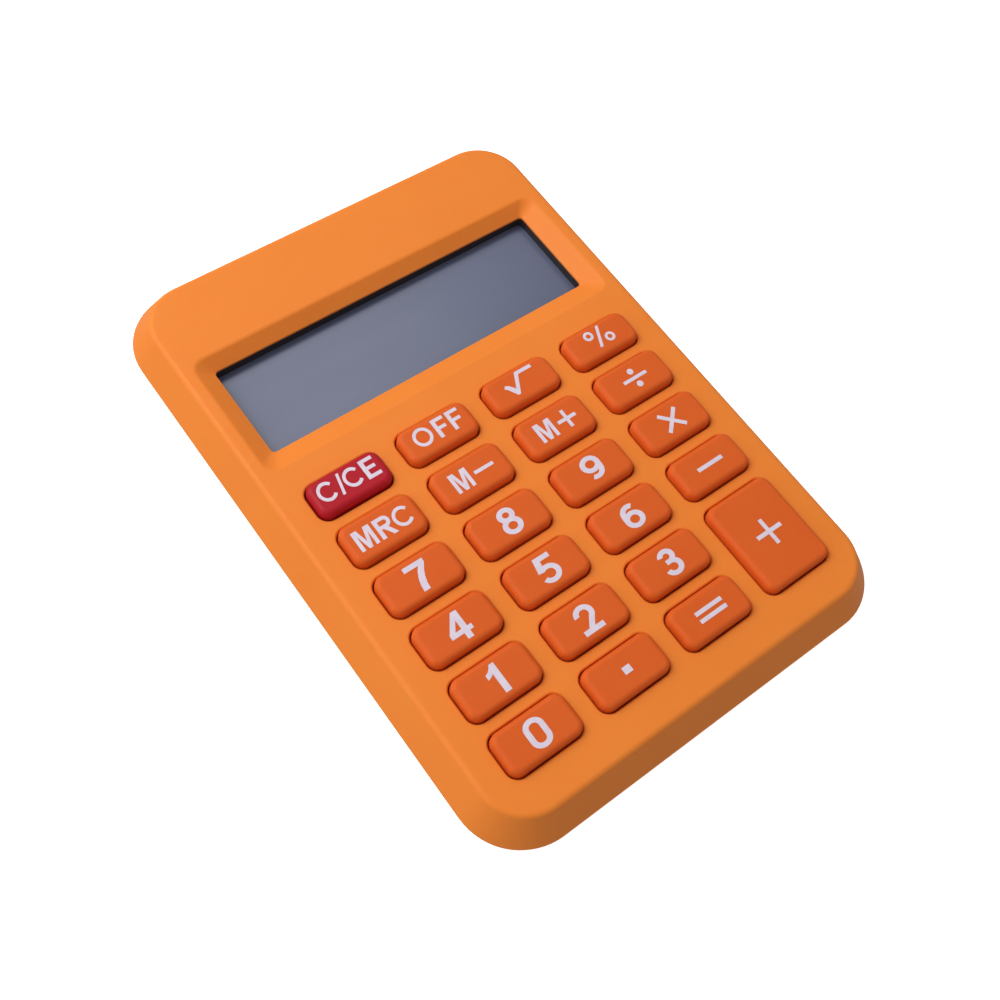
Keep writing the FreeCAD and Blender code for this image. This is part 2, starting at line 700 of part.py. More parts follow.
def check_document():
    """Stops if any object failed, or if a sub-part's shape is missing or broken."""
    doc.recompute()
    for thing in doc.Objects:
        bad = [state for state in thing.State if state in ("Invalid", "Error")]
        if bad:
            raise RuntimeError("%s is %s" % (thing.Label, bad))
    for thing in nodes:
        if thing.Shape.isNull() or not thing.Shape.isValid() or not thing.Shape.Solids:
            raise RuntimeError(thing.Label + " has no valid solid")


def write_parts():
    os.makedirs("parts", exist_ok=True)
    for thing in nodes:
        thing.Shape.exportStep(os.path.join("parts", thing.Label + ".step"))
        print("%-24s %3d solids %9.1f mm3" % (thing.Label, len(thing.Shape.Solids), thing.Shape.Volume))


front_cover()
rear_cover()
rubber_feet()
screws()
keypad()
display()
circuit_board()
battery()
check_document()
write_parts()
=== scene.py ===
import json
import math

import bmesh
import bpy
from mathutils import Matrix, Vector

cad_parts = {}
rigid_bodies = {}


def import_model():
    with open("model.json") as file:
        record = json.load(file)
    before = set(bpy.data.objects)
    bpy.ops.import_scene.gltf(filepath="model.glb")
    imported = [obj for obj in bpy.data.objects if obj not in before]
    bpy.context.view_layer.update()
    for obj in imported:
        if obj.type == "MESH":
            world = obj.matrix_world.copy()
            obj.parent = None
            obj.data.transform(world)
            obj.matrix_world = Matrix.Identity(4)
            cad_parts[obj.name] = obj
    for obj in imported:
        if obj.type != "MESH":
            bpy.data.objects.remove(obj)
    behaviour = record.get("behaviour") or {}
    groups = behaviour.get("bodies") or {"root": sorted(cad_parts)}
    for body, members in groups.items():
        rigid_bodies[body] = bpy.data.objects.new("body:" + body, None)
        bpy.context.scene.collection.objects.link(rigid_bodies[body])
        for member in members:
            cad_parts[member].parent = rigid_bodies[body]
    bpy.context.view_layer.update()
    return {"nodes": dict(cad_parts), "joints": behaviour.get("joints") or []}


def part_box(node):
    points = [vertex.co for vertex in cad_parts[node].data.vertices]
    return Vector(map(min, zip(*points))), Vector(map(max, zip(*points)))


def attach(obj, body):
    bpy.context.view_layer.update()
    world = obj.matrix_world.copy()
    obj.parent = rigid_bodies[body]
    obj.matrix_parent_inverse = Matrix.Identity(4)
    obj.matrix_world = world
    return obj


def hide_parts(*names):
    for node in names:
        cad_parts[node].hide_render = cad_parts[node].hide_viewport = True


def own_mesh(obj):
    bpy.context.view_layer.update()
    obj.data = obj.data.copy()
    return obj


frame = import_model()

MM = 0.001
KEY_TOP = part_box("key_7")[1][2]
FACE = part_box("front_cover")[1][2]


# ---------------------------------------------------------------- camera and light

SKY_STRENGTH = 0.42


def viewpoint(azimuth, elevation):
    """The unit vector from the object towards a place seen under these two angles, in degrees."""
    a, e = math.radians(azimuth), math.radians(elevation)
    return Vector((math.sin(a) * math.cos(e), -math.cos(a) * math.cos(e), math.sin(e)))


def place_camera():
    """Looks down on the calculator from its lower left corner, slightly rolled."""
    azimuth, elevation, roll, distance = -51.0, 61.85, 16.0, 208.1 * MM
    aim = Vector((-7.43 * MM, -9.64 * MM, FACE))
    lens = bpy.data.cameras.new("camera")
    lens.sensor_width = 36.0
    lens.lens = 44.5
    lens.clip_start = 0.01
    camera = bpy.data.objects.new("camera", lens)
    bpy.context.scene.collection.objects.link(camera)
    back = viewpoint(azimuth, elevation)
    turn = back.to_track_quat("Z", "Y").to_matrix() @ Matrix.Rotation(math.radians(roll), 3, "Z")
    camera.matrix_world = Matrix.Translation(aim + back * distance) @ turn.to_4x4()
    bpy.context.scene.camera = camera


def softbox(name, azimuth, elevation, distance, size, power):
    """A square white area light that faces the calculator."""
    box = bpy.data.lights.new(name, "AREA")
    box.shape = "SQUARE"
    box.size = size
    box.energy = power
    lamp = bpy.data.objects.new(name, box)
    bpy.context.scene.collection.objects.link(lamp)
    back = viewpoint(azimuth, elevation)
    turn = back.to_track_quat("Z", "Y").to_matrix().to_4x4()
    lamp.matrix_world = Matrix.Translation(back * distance) @ turn


def light_studio():
    """A large soft white light high on the rear left, a fill from the left, a small one that the
    display mirrors, and an even white sky."""
    softbox("key_light", -144, 50, 0.6, 0.33, 2.15)
    softbox("fill_light", -104, 26, 0.9, 0.6, 1.3)
    softbox("display_light", 149, 58, 0.9, 0.25, 0.38)
    world = bpy.data.worlds.new("studio")
    world.use_nodes = True
    sky = world.node_tree.nodes["Background"]
    sky.inputs["Color"].default_value = (1.0, 1.0, 1.0, 1.0)
    sky.inputs["Strength"].default_value = SKY_STRENGTH
    bpy.context.scene.world = world
    bpy.context.scene.view_settings.view_transform = "Standard"


# ---------------------------------------------------------------- shader tools

class Socket:
    """A node's output. Arithmetic on it adds Math nodes to its material."""

    def __init__(self, finish, output):
        self.finish = finish
        self.output = output

    def _math(self, operation, first, second):
        return self.finish.node("ShaderNodeMath", {0: first, 1: second}, operation=operation)[0]

    def __add__(self, other):
        return self._math("ADD", self, other)

    def __radd__(self, other):
        return self._math("ADD", other, self)

    def __sub__(self, other):
        return self._math("SUBTRACT", self, other)

    def __rsub__(self, other):
        return self._math("SUBTRACT", other, self)

    def __mul__(self, other):
        return self._math("MULTIPLY", self, other)

    def __rmul__(self, other):
        return self._math("MULTIPLY", other, self)

    def __lt__(self, other):
        return self._math("LESS_THAN", self, other)


class Finish:
    """A material under construction: its node tree and its Principled shader."""

    def __init__(self, name):
        self.material = bpy.data.materials.new(name)
        self.material.use_nodes = True
        self.tree = self.material.node_tree
        self.shader = self.tree.nodes["Principled BSDF"]
        self.place = self.node("ShaderNodeTexCoord", {})["Object"]

    def node(self, kind, values, stops=None, **settings):
        """Adds a node. Settings and ramp stops come first, then the values or links of its inputs."""
        made = self.tree.nodes.new(kind)
        for name, setting in settings.items():
            setattr(made, name, setting)
        if stops:
            ramp = made.color_ramp.elements
            while len(ramp) < len(stops):
                ramp.new(0.5)
            for element, (position, level) in zip(ramp, stops):
                element.position = position
                element.color = (level, level, level, 1.0)
        for name, value in values.items():
            self._feed(made.inputs[name], value)
        return {key: Socket(self, output)
                for i, output in enumerate(made.outputs) for key in (i, output.name)}

    def _feed(self, socket, value):
        if isinstance(value, Socket):
            self.tree.links.new(value.output, socket)
        elif isinstance(value, tuple) and len(value) == 3 and socket.type == "RGBA":
            socket.default_value = (*value, 1.0)
        else:
            socket.default_value = value

    def set(self, **values):
        """Sets the shader's own sockets. An underscore in a name stands for a space."""
        for name, value in values.items():
            self._feed(self.shader.inputs[name.replace("_", " ")], value)

    def noise(self, scale, detail=2.0, roughness=0.5, place=None):
        values = {"Vector": place or self.place, "Scale": scale, "Detail": detail, "Roughness": roughness}
        return self.node("ShaderNodeTexNoise", values)["Fac"]

    def step(self, value, low, high):
        """A smooth rise from 0 to 1 as the value goes from low to high."""
        values = {"Value": value, "From Min": low, "From Max": high}
        return self.node("ShaderNodeMapRange", values, interpolation_type="SMOOTHSTEP")["Result"]

    def blend(self, share, first, second):
        """Mixes two colours."""
        made = self.tree.nodes.new("ShaderNodeMix")
        made.data_type = "RGBA"
        for socket, value in zip([made.inputs[0], made.inputs[6], made.inputs[7]], (share, first, second)):
            self._feed(socket, value)
        return Socket(self, made.outputs[2])

    def stretched(self, scale, turn=(0.0, 0.0, 0.0)):
        """The object's coordinates, stretched and turned."""
        values = {"Vector": self.place, "Scale": scale, "Rotation": turn}
        return self.node("ShaderNodeMapping", values)["Vector"]

    def bump(self, height, depth, normal=None):
        """Turns a height from 0 to 1 into a relief of this depth, in millimetres."""
        values = {"Height": height, "Distance": depth * MM, "Strength": 1.0}
        if normal:
            values["Normal"] = normal
        return self.node("ShaderNodeBump", values)["Normal"]

    def specks(self, cell, radius, share):
        """Round specks of dust or pinholes, one to a cell, in a share of the cells. Sizes are in mm."""
        values = {"Vector": self.place, "Scale": 1.0 / (cell * MM)}
        cells = self.node("ShaderNodeTexVoronoi", values)
        chance = self.node("ShaderNodeSeparateColor", {"Color": cells["Color"]})["Red"]
        return (cells["Distance"] < radius / cell) * (chance < share)


# ---------------------------------------------------------------- finishes

def moulded_plastic(name, colour, deep, roughness=0.5, dust=0.05):
    """Satin injection-moulded plastic: a fine spark-eroded grain, faint cloudiness, rub marks and dust."""
    f = Finish(name)
    cloud = f.noise(70.0, 3.0)
    grain = f.noise(5200.0, 2.0)
    pores = f.noise(1500.0, 3.0)
    rub = f.noise(1.0, 4.0, 0.6, f.stretched((900.0, 60.0, 400.0), (0.0, 0.0, 0.6)))
    rubbed = f.step(rub, 0.62, 0.74)
    dusty = f.specks(2.6, 0.045, dust)
    tint = f.blend(f.step(cloud, 0.3, 0.7) * 0.55, colour, deep)
    f.set(Base_Color=f.blend(dusty * 0.75, tint, (0.95, 0.85, 0.8)),
          Roughness=roughness + 0.10 * (pores - 0.5) - 0.06 * rubbed + 0.3 * dusty,
          Normal=f.bump(grain, 0.006, f.bump(pores, 0.004)),
          Subsurface_Weight=0.2, Subsurface_Radius=(1.0, 0.3, 0.15), Subsurface_Scale=0.0007,
          Specular_IOR_Level=0.2)
    return f.material


def printed_ink():
    """Pad-printed ink: a slightly uneven edge-to-edge film with a few pinholes and worn spots."""
    f = Finish("printed_ink")
    cover = f.noise(900.0, 3.0)
    pinholes = f.specks(0.7, 0.05, 0.18)
    worn = f.step(f.noise(1600.0, 4.0, 0.7), 0.70, 0.78)
    tint = f.blend(f.step(cover, 0.3, 0.7), (0.72, 0.62, 0.73), (0.77, 0.68, 0.78))
    f.set(Base_Color=f.blend(pinholes * 0.5 + worn * 0.35, tint, (0.80, 0.45, 0.34)),
          Roughness=0.5 + 0.12 * (cover - 0.5),
          Normal=f.bump(f.noise(4200.0, 2.0), 0.004))
    return f.material


def anti_glare_film():
    """The front polariser: a grey film with a very fine etched grain, wipe marks and a few dust specks."""
    f = Finish("anti_glare_film")
    wipe = f.noise(1.0, 3.0, 0.6, f.stretched((30.0, 240.0, 30.0), (0.0, 0.0, 0.2)))
    dusty = f.specks(3.2, 0.05, 0.12)
    tint = f.blend(f.step(f.noise(25.0, 2.0), 0.3, 0.7), (0.092, 0.108, 0.186), (0.104, 0.121, 0.204))
    f.set(Base_Color=f.blend(dusty * 0.6, tint, (0.6, 0.6, 0.62)),
          Roughness=0.30 + 0.10 * (wipe - 0.5) + 0.3 * dusty, Specular_IOR_Level=0.8,
          Normal=f.bump(f.noise(7000.0, 2.0), 0.0015),
          Coat_Weight=0.25, Coat_Roughness=0.25)
    return f.material


def display_glass():
    f = Finish("display_glass")
    smear = f.noise(120.0, 3.0)
    f.set(Base_Color=f.blend(f.step(smear, 0.3, 0.7), (0.80, 0.86, 0.84), (0.86, 0.90, 0.89)),
          Roughness=0.04 + 0.05 * smear, Transmission_Weight=1.0, IOR=1.5)
    return f.material


def black_frame_painted_shade():
    """Matt black moulded frame around the display; its black also paints the shade that falls inside the
    display opening.
    """
    f = Finish("black_frame_painted_shade")
    grain = f.noise(3600.0, 3.0)
    f.set(Base_Color=f.blend(grain, (0.008, 0.006, 0.007), (0.022, 0.017, 0.018)),
          Roughness=0.6 + 0.2 * (grain - 0.5),
          Normal=f.bump(grain, 0.01))
    return f.material


def silicone(name, pale, dark, roughness=0.62):
    """Rubber with a soft matt skin, mottled with dust that clings to it."""
    f = Finish(name)
    cloud = f.noise(220.0, 4.0)
    lint = f.specks(1.4, 0.05, 0.22)
    f.set(Base_Color=f.blend(lint * 0.35, f.blend(f.step(cloud, 0.25, 0.75), dark, pale), (0.7, 0.68, 0.66)),
          Roughness=roughness + 0.18 * (cloud - 0.5),
          Normal=f.bump(f.noise(3000.0, 3.0), 0.012),
          Subsurface_Weight=0.05, Subsurface_Radius=(1.0, 0.8, 0.7), Subsurface_Scale=0.0006)
    return f.material


def plated_steel(name, pale, dark, roughness, brushing):
    """Plated metal with fine drawing marks along one direction and slight tarnish."""
    f = Finish(name)
    marks = f.noise(1.0, 4.0, 0.6, f.stretched(brushing))
    tarnish = f.noise(700.0, 3.0)
    f.set(Base_Color=f.blend(f.step(tarnish, 0.35, 0.75), pale, dark), Metallic=1.0,
          Roughness=roughness + 0.16 * (marks - 0.5) + 0.08 * tarnish,
          Normal=f.bump(marks, 0.004))
    return f.material


def solder_mask():
    """Green lacquered board with copper tracks showing through."""
    f = Finish("solder_mask")
    tracks = f.node("ShaderNodeTexBrick", {"Vector": f.place, "Scale": 260.0, "Mortar Size": 0.09,
                                           "Color1": (0.0, 0.0, 0.0), "Color2": (0.25, 0.25, 0.25),
                                           "Mortar": (1.0, 1.0, 1.0)})["Color"]
    track = f.node("ShaderNodeSeparateColor", {"Color": tracks})["Red"]
    weave = f.noise(1800.0, 3.0)
    f.set(Base_Color=f.blend(track, (0.012, 0.11, 0.035), (0.05, 0.26, 0.09)),
          Roughness=0.3 + 0.1 * (weave - 0.5),
          Normal=f.bump(track * 0.8 + weave * 0.2, 0.02), Coat_Weight=0.4, Coat_Roughness=0.15)
    return f.material


def epoxy():
    """The glossy black drop that covers the controller."""
    f = Finish("epoxy")
    ripple = f.noise(450.0, 2.0)
    f.set(Base_Color=f.blend(ripple, (0.006, 0.006, 0.007), (0.02, 0.02, 0.022)),
          Roughness=0.14 + 0.12 * ripple, Normal=f.bump(ripple, 0.03))
    return f.material


def fired_ceramic():
    f = Finish("fired_ceramic")
    fleck = f.noise(5000.0, 3.0)
    f.set(Base_Color=f.blend(f.step(fleck, 0.3, 0.7), (0.34, 0.22, 0.12), (0.50, 0.36, 0.22)),
          Roughness=0.38 + 0.2 * (fleck - 0.5), Normal=f.bump(fleck, 0.006))
    return f.material


def layered_rubber():
    """The zebra strip: thin conducting layers between clear silicone."""
    f = Finish("layered_rubber")
    bands = f.node("ShaderNodeTexWave", {"Vector": f.place, "Scale": 900.0, "Distortion": 0.3},
                   bands_direction="X")["Fac"]
    f.set(Base_Color=f.blend(f.step(bands, 0.4, 0.6), (0.72, 0.70, 0.68), (0.03, 0.03, 0.03)),
          Roughness=0.55 + 0.15 * bands, Normal=f.bump(bands, 0.01))
    return f.material


def open_foam():
    f = Finish("open_foam")
    cell = f.node("ShaderNodeTexVoronoi", {"Vector": f.place, "Scale": 3200.0})["Distance"]
    f.set(Base_Color=f.blend(cell, (0.012, 0.012, 0.014), (0.09, 0.09, 0.095)),
          Roughness=0.85 + 0.1 * cell, Normal=f.bump(cell, 0.08))
    return f.material


def satin_foil():
    f = Finish("satin_foil")
    roll = f.noise(1.0, 3.0, 0.5, f.stretched((40.0, 1500.0, 40.0)))
    f.set(Base_Color=f.blend(roll, (0.50, 0.51, 0.54), (0.62, 0.63, 0.66)), Metallic=1.0,
          Roughness=0.34 + 0.15 * (roll - 0.5), Normal=f.bump(roll, 0.003))
    return f.material


def studio_paper():
    """White paper on a light table, so that shadows on it stay pale."""
    f = Finish("studio_paper")
    fibre = f.noise(160.0, 4.0)
    f.set(Base_Color=f.blend(f.step(fibre, 0.3, 0.7), (0.93, 0.93, 0.93), (0.95, 0.95, 0.95)),
          Roughness=0.7 + 0.1 * (fibre - 0.5),
          Emission_Color=(1.0, 1.0, 1.0), Emission_Strength=0.8)
    return f.material


def dress(material, *nodes):
    """Gives CAD nodes their finish."""
    for name in nodes:
        slots = frame["nodes"][name].data.materials
        slots.clear()
        slots.append(material)


def finish_nodes():
    keys = [name for name in frame["nodes"] if name.startswith("key_")]
    dress(moulded_plastic("orange_case", (0.89, 0.250, 0.034), (0.86, 0.236, 0.030)), "front_cover")
    dress(moulded_plastic("orange_tray", (0.87, 0.242, 0.032), (0.84, 0.228, 0.028), 0.55),
          "rear_cover", "battery_door")
    dress(moulded_plastic("orange_keys", (0.74, 0.122, 0.015), (0.71, 0.112, 0.012), 0.56, 0.10), *keys)
    dress(moulded_plastic("red_key", (0.47, 0.010, 0.022), (0.43, 0.008, 0.018), 0.45, 0.08), "key_clear")
    dress(anti_glare_film(), "lcd_front_polariser")
    dress(display_glass(), "lcd_front_glass", "lcd_rear_glass")
    # painted shade: the frame's black also stands in for the shade inside the display opening
    dress(black_frame_painted_shade(), "lcd_frame")
    dress(satin_foil(), "lcd_reflector")
    dress(silicone("grey_silicone", (0.55, 0.53, 0.50), (0.48, 0.46, 0.43)), "keypad_mat", "rubber_domes")
    dress(silicone("black_rubber", (0.030, 0.030, 0.032), (0.016, 0.016, 0.017), 0.7), "rubber_feet")
    dress(plated_steel("zinc_screws", (0.62, 0.62, 0.64), (0.40, 0.40, 0.42), 0.30, (90.0, 2200.0, 90.0)),
          "case_screws", "board_screws", "battery_door_screw")
    dress(plated_steel("nickel_strip", (0.72, 0.69, 0.62), (0.52, 0.49, 0.43), 0.25, (1800.0, 80.0, 80.0)),
          "battery_contact_plus", "battery_contact_minus")
    dress(plated_steel("cell_can", (0.70, 0.70, 0.69), (0.50, 0.50, 0.50), 0.22, (60.0, 60.0, 1800.0)),
          "button_cell")
    dress(solder_mask(), "circuit_board")
    dress(epoxy(), "controller_chip")
    dress(fired_ceramic(), "ceramic_capacitors", "chip_resistor")
    dress(layered_rubber(), "zebra_strip")
    dress(open_foam(), "foam_strip")


# ---------------------------------------------------------------- legends

INK_DEPTH = 0.05
INK_SUNK = 0.02
TOP_ROW_LIFT = 0.45
BROAD = 0.86
MEDIUM = 0.61


class Pen:
    """A broad nib that lays ribbons of ink in millimetres: straight runs are extruded, bends are spun."""

    def __init__(self, nib):
        self.nib = nib
        bpy.ops.object.select_all(action="DESELECT")
        bpy.ops.mesh.primitive_plane_add(size=1.0)
        self.piece = bpy.context.object
        bpy.ops.object.mode_set(mode="EDIT")
        bpy.ops.mesh.select_all(action="SELECT")
        bpy.ops.mesh.delete(type="VERT")

    def start(self, x, y, heading, nib=None):
        """Sets the nib down as one edge, square to its heading in degrees."""
        self.place, self.heading = Vector((x, y, 0.0)), math.radians(heading)
        bpy.ops.mesh.select_all(action="DESELECT")
        bpy.ops.mesh.primitive_plane_add(size=1.0)
        mesh = bmesh.from_edit_mesh(self.piece.data)
        corners = [v for v in mesh.verts if v.select]
        side = Matrix.Rotation(self.heading, 3, "Z") @ Vector((0.0, (nib or self.nib) / 2, 0.0))
        for corner in corners:
            corner.select_set(corner.co.x < 0.0)
        mesh.select_flush_mode()
        bmesh.update_edit_mesh(self.piece.data)
        kept = [v for v in corners if not v.select]
        for corner, way in zip(kept, (1, -1)):
            corner.co = self.place + side * way
        bpy.ops.mesh.delete(type="VERT")
        mesh = bmesh.from_edit_mesh(self.piece.data)
        for edge in mesh.edges:
            edge.select_set(not edge.link_faces)
        bmesh.update_edit_mesh(self.piece.data)

    def run(self, length):
        step = Matrix.Rotation(self.heading, 3, "Z") @ Vector((length, 0.0, 0.0))
        bpy.ops.mesh.extrude_region_move(TRANSFORM_OT_translate={"value": step})
        self.place = self.place + step

    def bend(self, radius, turn):
        """Turns about a centre at this radius, to the left for a positive angle."""
        angle = math.radians(turn)
        side = Matrix.Rotation(self.heading, 3, "Z") @ Vector((0.0, math.copysign(radius, turn), 0.0))
        centre = self.place + side
        steps = max(3, round(abs(turn) / 9))
        bpy.ops.mesh.spin(steps=steps, angle=angle, center=centre, axis=(0.0, 0.0, -1.0))
        self.place = centre - Matrix.Rotation(angle, 3, "Z") @ side
        self.heading += angle

    def lift(self):
        """Thickens the ribbon into a slab and merges it with the ink already laid."""
        bpy.ops.mesh.select_linked()
        bpy.ops.mesh.remove_doubles(threshold=0.001)
        bpy.ops.mesh.select_linked()
        bpy.ops.mesh.extrude_region_move(TRANSFORM_OT_translate={"value": (0.0, 0.0, INK_DEPTH)})
        bpy.ops.mesh.select_linked()
        bpy.ops.mesh.normals_make_consistent(inside=False)
        mesh = bmesh.from_edit_mesh(self.piece.data)
        if any(not v.select for v in mesh.verts):
            bpy.ops.mesh.intersect_boolean(operation="UNION", solver="EXACT")
            bpy.ops.mesh.select_all(action="SELECT")
            bpy.ops.mesh.dissolve_degenerate(threshold=0.002)

    def patch(self, *corners):
        """A filled outline, for shapes that no ribbon makes."""
        bpy.ops.mesh.select_all(action="DESELECT")
        bpy.ops.mesh.primitive_circle_add(vertices=len(corners), radius=1.0, fill_type="NGON")
        mesh = bmesh.from_edit_mesh(self.piece.data)
        ring = sorted((v for v in mesh.verts if v.select), key=lambda v: math.atan2(v.co.y, v.co.x))
        for vertex, (x, y) in zip(ring, corners):
            vertex.co = (x, y, 0.0)
        mesh.normal_update()
        bmesh.update_edit_mesh(self.piece.data)
        self.lift()

    def bar(self, x, y, width, height):
        """An upright rectangle about x and y."""
        w, h = width / 2, height / 2
        self.patch((x - w, y - h), (x + w, y - h), (x + w, y + h), (x - w, y + h))

    def ring(self, x, y, radius, nib=None):
        self.start(x + radius, y, 90, nib)
        self.bend(radius, 180)
        self.bend(radius, 180)
        self.lift()

    def dot(self, x, y, radius):
        angles = [math.radians(15 * i) for i in range(24)]
        self.patch(*[(x + radius * math.cos(angle), y + radius * math.sin(angle)) for angle in angles])


def figure_0(pen):
    pen.start(1.18, 0.0, 90, 0.84)
    for _ in range(2):
        pen.run(0.93)
        pen.bend(1.18, 180)
        pen.run(0.93)
    pen.lift()


def figure_1(pen):
    pen.patch((0.85, -2.6), (0.85, 2.6), (0.12, 2.6), (-0.18, 2.05), (-0.62, 1.62), (-1.1, 1.4),
              (-1.1, 0.48), (-0.6, 0.66), (-0.12, 1.0), (-0.12, -2.6))


def figure_2(pen):
    pen.start(-1.12, 0.78, 96)
    pen.bend(1.1, -30)
    pen.bend(1.14, -115)
    pen.bend(1.25, -80)
    pen.bend(3.0, 8)
    pen.run(1.9)
    pen.lift()
    pen.bar(0.0, -2.13, 3.35, 0.94)


def figure_3(pen):
    pen.start(-1.02, 1.28, 80)
    pen.bend(0.95, -170)
    pen.bend(1.0, -90)
    pen.run(0.55)
    pen.lift()
    pen.start(-0.45, 0.12, 0)
    pen.run(0.4)
    pen.bend(1.12, -180)
    pen.bend(1.12, -80)
    pen.lift()


def figure_4(pen):
    pen.bar(0.62, 0.0, 0.92, 5.2)
    pen.bar(-0.02, -1.02, 3.5, 0.86)
    pen.patch((0.7, 2.6), (0.16, 2.6), (-1.77, -0.62), (-0.82, -0.62), (0.2, 1.18), (0.7, 1.18))


def figure_5(pen):
    pen.patch((-1.15, 2.6), (-1.6, -0.08), (-0.72, -0.24), (-0.45, 0.3), (-0.3, 1.7), (1.42, 1.7),
              (1.42, 2.6))
    pen.start(-0.95, 0.05, 45)
    pen.bend(1.27, -290)
    pen.lift()


def figure_6(pen):
    pen.ring(0.0, -0.98, 1.2)
    pen.start(-1.2, -0.98, 90)
    pen.run(0.7)
    pen.bend(4.2, -12)
    pen.bend(1.22, -112)
    pen.lift()


def figure_7(pen):
    pen.patch((-1.62, 2.6), (-1.62, 1.68), (0.6, 1.68), (0.1, 0.95), (-0.4, -0.2), (-0.7, -1.4), (-0.8, -2.6),
              (0.2, -2.6), (0.3, -1.5), (0.6, -0.3), (1.05, 0.75), (1.66, 1.8), (1.66, 2.6))


def figure_8(pen):
    pen.ring(0.0, 1.16, 0.96)
    pen.ring(0.0, -0.98, 1.15)


def figure_9(pen):
    pen.ring(0.0, 0.98, 1.2)
    pen.start(1.2, 0.98, 270)
    pen.run(0.7)
    pen.bend(4.2, -12)
    pen.bend(1.22, -112)
    pen.lift()


def letter_c(pen):
    pen.start(1.19, 0.98, 128)
    pen.bend(1.56, 284)
    pen.lift()


def letter_o(pen):
    pen.ring(0.0, 0.0, 1.56)


def letter_e(pen):
    pen.bar(-0.95, 0.0, 0.78, 3.85)
    pen.bar(-0.05, 1.6, 2.6, 0.66)
    pen.bar(-0.15, 0.06, 2.4, 0.64)
    pen.bar(0.0, -1.6, 2.7, 0.66)


def letter_f(pen):
    pen.bar(-0.95, 0.0, 0.78, 3.85)
    pen.bar(-0.05, 1.6, 2.58, 0.66)
    pen.bar(-0.2, -0.05, 2.28, 0.64)


def letter_m(pen):
    pen.patch((-1.75, -1.925), (-1.75, 1.925), (-0.66, 1.925), (0.0, -0.62), (0.66, 1.925), (1.75, 1.925),
              (1.75, -1.925), (1.06, -1.925), (1.06, 1.0), (0.34, -1.925), (-0.34, -1.925), (-1.06, 1.0),
              (-1.06, -1.925))


def letter_r(pen):
    pen.bar(-1.2, 0.0, 0.78, 3.85)
    pen.start(-1.0, 1.59, 0, 0.68)
    pen.run(1.35)
    pen.bend(0.76, -180)
    pen.run(1.35)
    pen.lift()
    pen.patch((0.25, 0.1), (0.75, -0.55), (1.62, -1.925), (0.7, -1.925), (0.05, -0.9), (-0.42, -0.3))


def slash(pen):
    pen.patch((-0.78, -1.98), (-0.22, -1.98), (0.78, 1.98), (0.22, 1.98))


def percent(pen):
    pen.patch((-1.25, -2.1), (-0.62, -2.1), (1.25, 2.1), (0.62, 2.1))
    pen.ring(-1.78, 1.0, 0.72, 0.52)
    pen.ring(1.78, -1.0, 0.72, 0.52)


def root(pen):
    pen.patch((-3.45, 0.1), (-3.05, 0.62), (-2.35, 0.25), (-1.55, -0.85), (0.05, 2.1), (3.5, 2.1),
              (3.5, 1.42), (0.5, 1.42), (-1.45, -2.1), (-1.95, -2.1), (-2.95, -0.35))


def plus(pen):
    pen.bar(0.0, 0.0, 5.5, 0.76)
    pen.bar(0.0, 0.0, 0.76, 5.2)


def small_plus(pen):
    pen.bar(0.0, 0.0, 3.9, 0.66)
    pen.bar(0.0, 0.0, 0.66, 3.7)


def small_minus(pen):
    pen.bar(0.0, 0.0, 3.9, 0.64)


def minus(pen):
    pen.bar(0.0, 0.0, 5.6, 0.76)


def divide(pen):
    pen.bar(0.0, 0.0, 5.2, 0.66)
    pen.dot(0.0, 1.45, 0.62)
    pen.dot(0.0, -1.45, 0.62)


def multiply(pen):
    for way in (1, -1):
        pen.start(-1.93, -1.93 * way, 45 * way, 0.74)
        pen.run(5.46)
        pen.lift()


def equals(pen):
    pen.bar(0.0, 0.72, 5.7, 0.74)
    pen.bar(0.0, -0.72, 5.7, 0.74)


def point(pen):
    pen.bar(0.0, 0.0, 1.55, 1.3)


# key, and what is printed on it: drawing, offset from the key's middle, width factor
WIDE = 1.19
LEGENDS = {
    "key_clear": [(letter_c, -4.05, 0.92), (slash, -1.45, 0.9), (letter_c, 1.0, 0.92),
                  (letter_e, 4.35, 0.98)],
    "key_off": [(letter_o, -2.95, 0.96), (letter_f, 0.95, 0.95), (letter_f, 3.95, 0.95)],
    "key_root": [(root, 0.0, 1.0)],
    "key_percent": [(percent, 0.0, 1.0)],
    "key_memory_recall": [(letter_m, -3.6, 0.98), (letter_r, 0.25, 0.95), (letter_c, 3.8, 0.95)],
    "key_memory_minus": [(letter_m, -2.3, 1.0), (small_minus, 2.3, 1.0)],
    "key_memory_plus": [(letter_m, -2.3, 1.0), (small_plus, 2.3, 1.0)],
    "key_divide": [(divide, 0.0, 1.0)],
    "key_7": [(figure_7, 0.0, WIDE)],
    "key_8": [(figure_8, 0.0, WIDE)],
    "key_9": [(figure_9, 0.0, WIDE)],
    "key_multiply": [(multiply, 0.0, 1.0)],
    "key_4": [(figure_4, 0.0, WIDE)],
    "key_5": [(figure_5, 0.0, WIDE)],
    "key_6": [(figure_6, 0.0, WIDE)],
    "key_minus": [(minus, 0.0, 1.0)],
    "key_1": [(figure_1, 0.0, WIDE)],
    "key_2": [(figure_2, 0.0, WIDE)],
    "key_3": [(figure_3, 0.0, WIDE)],
    "key_plus": [(plus, 0.0, 1.0)],
    "key_0": [(figure_0, 0.0, WIDE)],
    "key_point": [(point, 0.0, 1.0)],
    "key_equals": [(equals, 0.0, 1.0)],
}


TOP_ROW = ("key_clear", "key_off", "key_root", "key_percent")


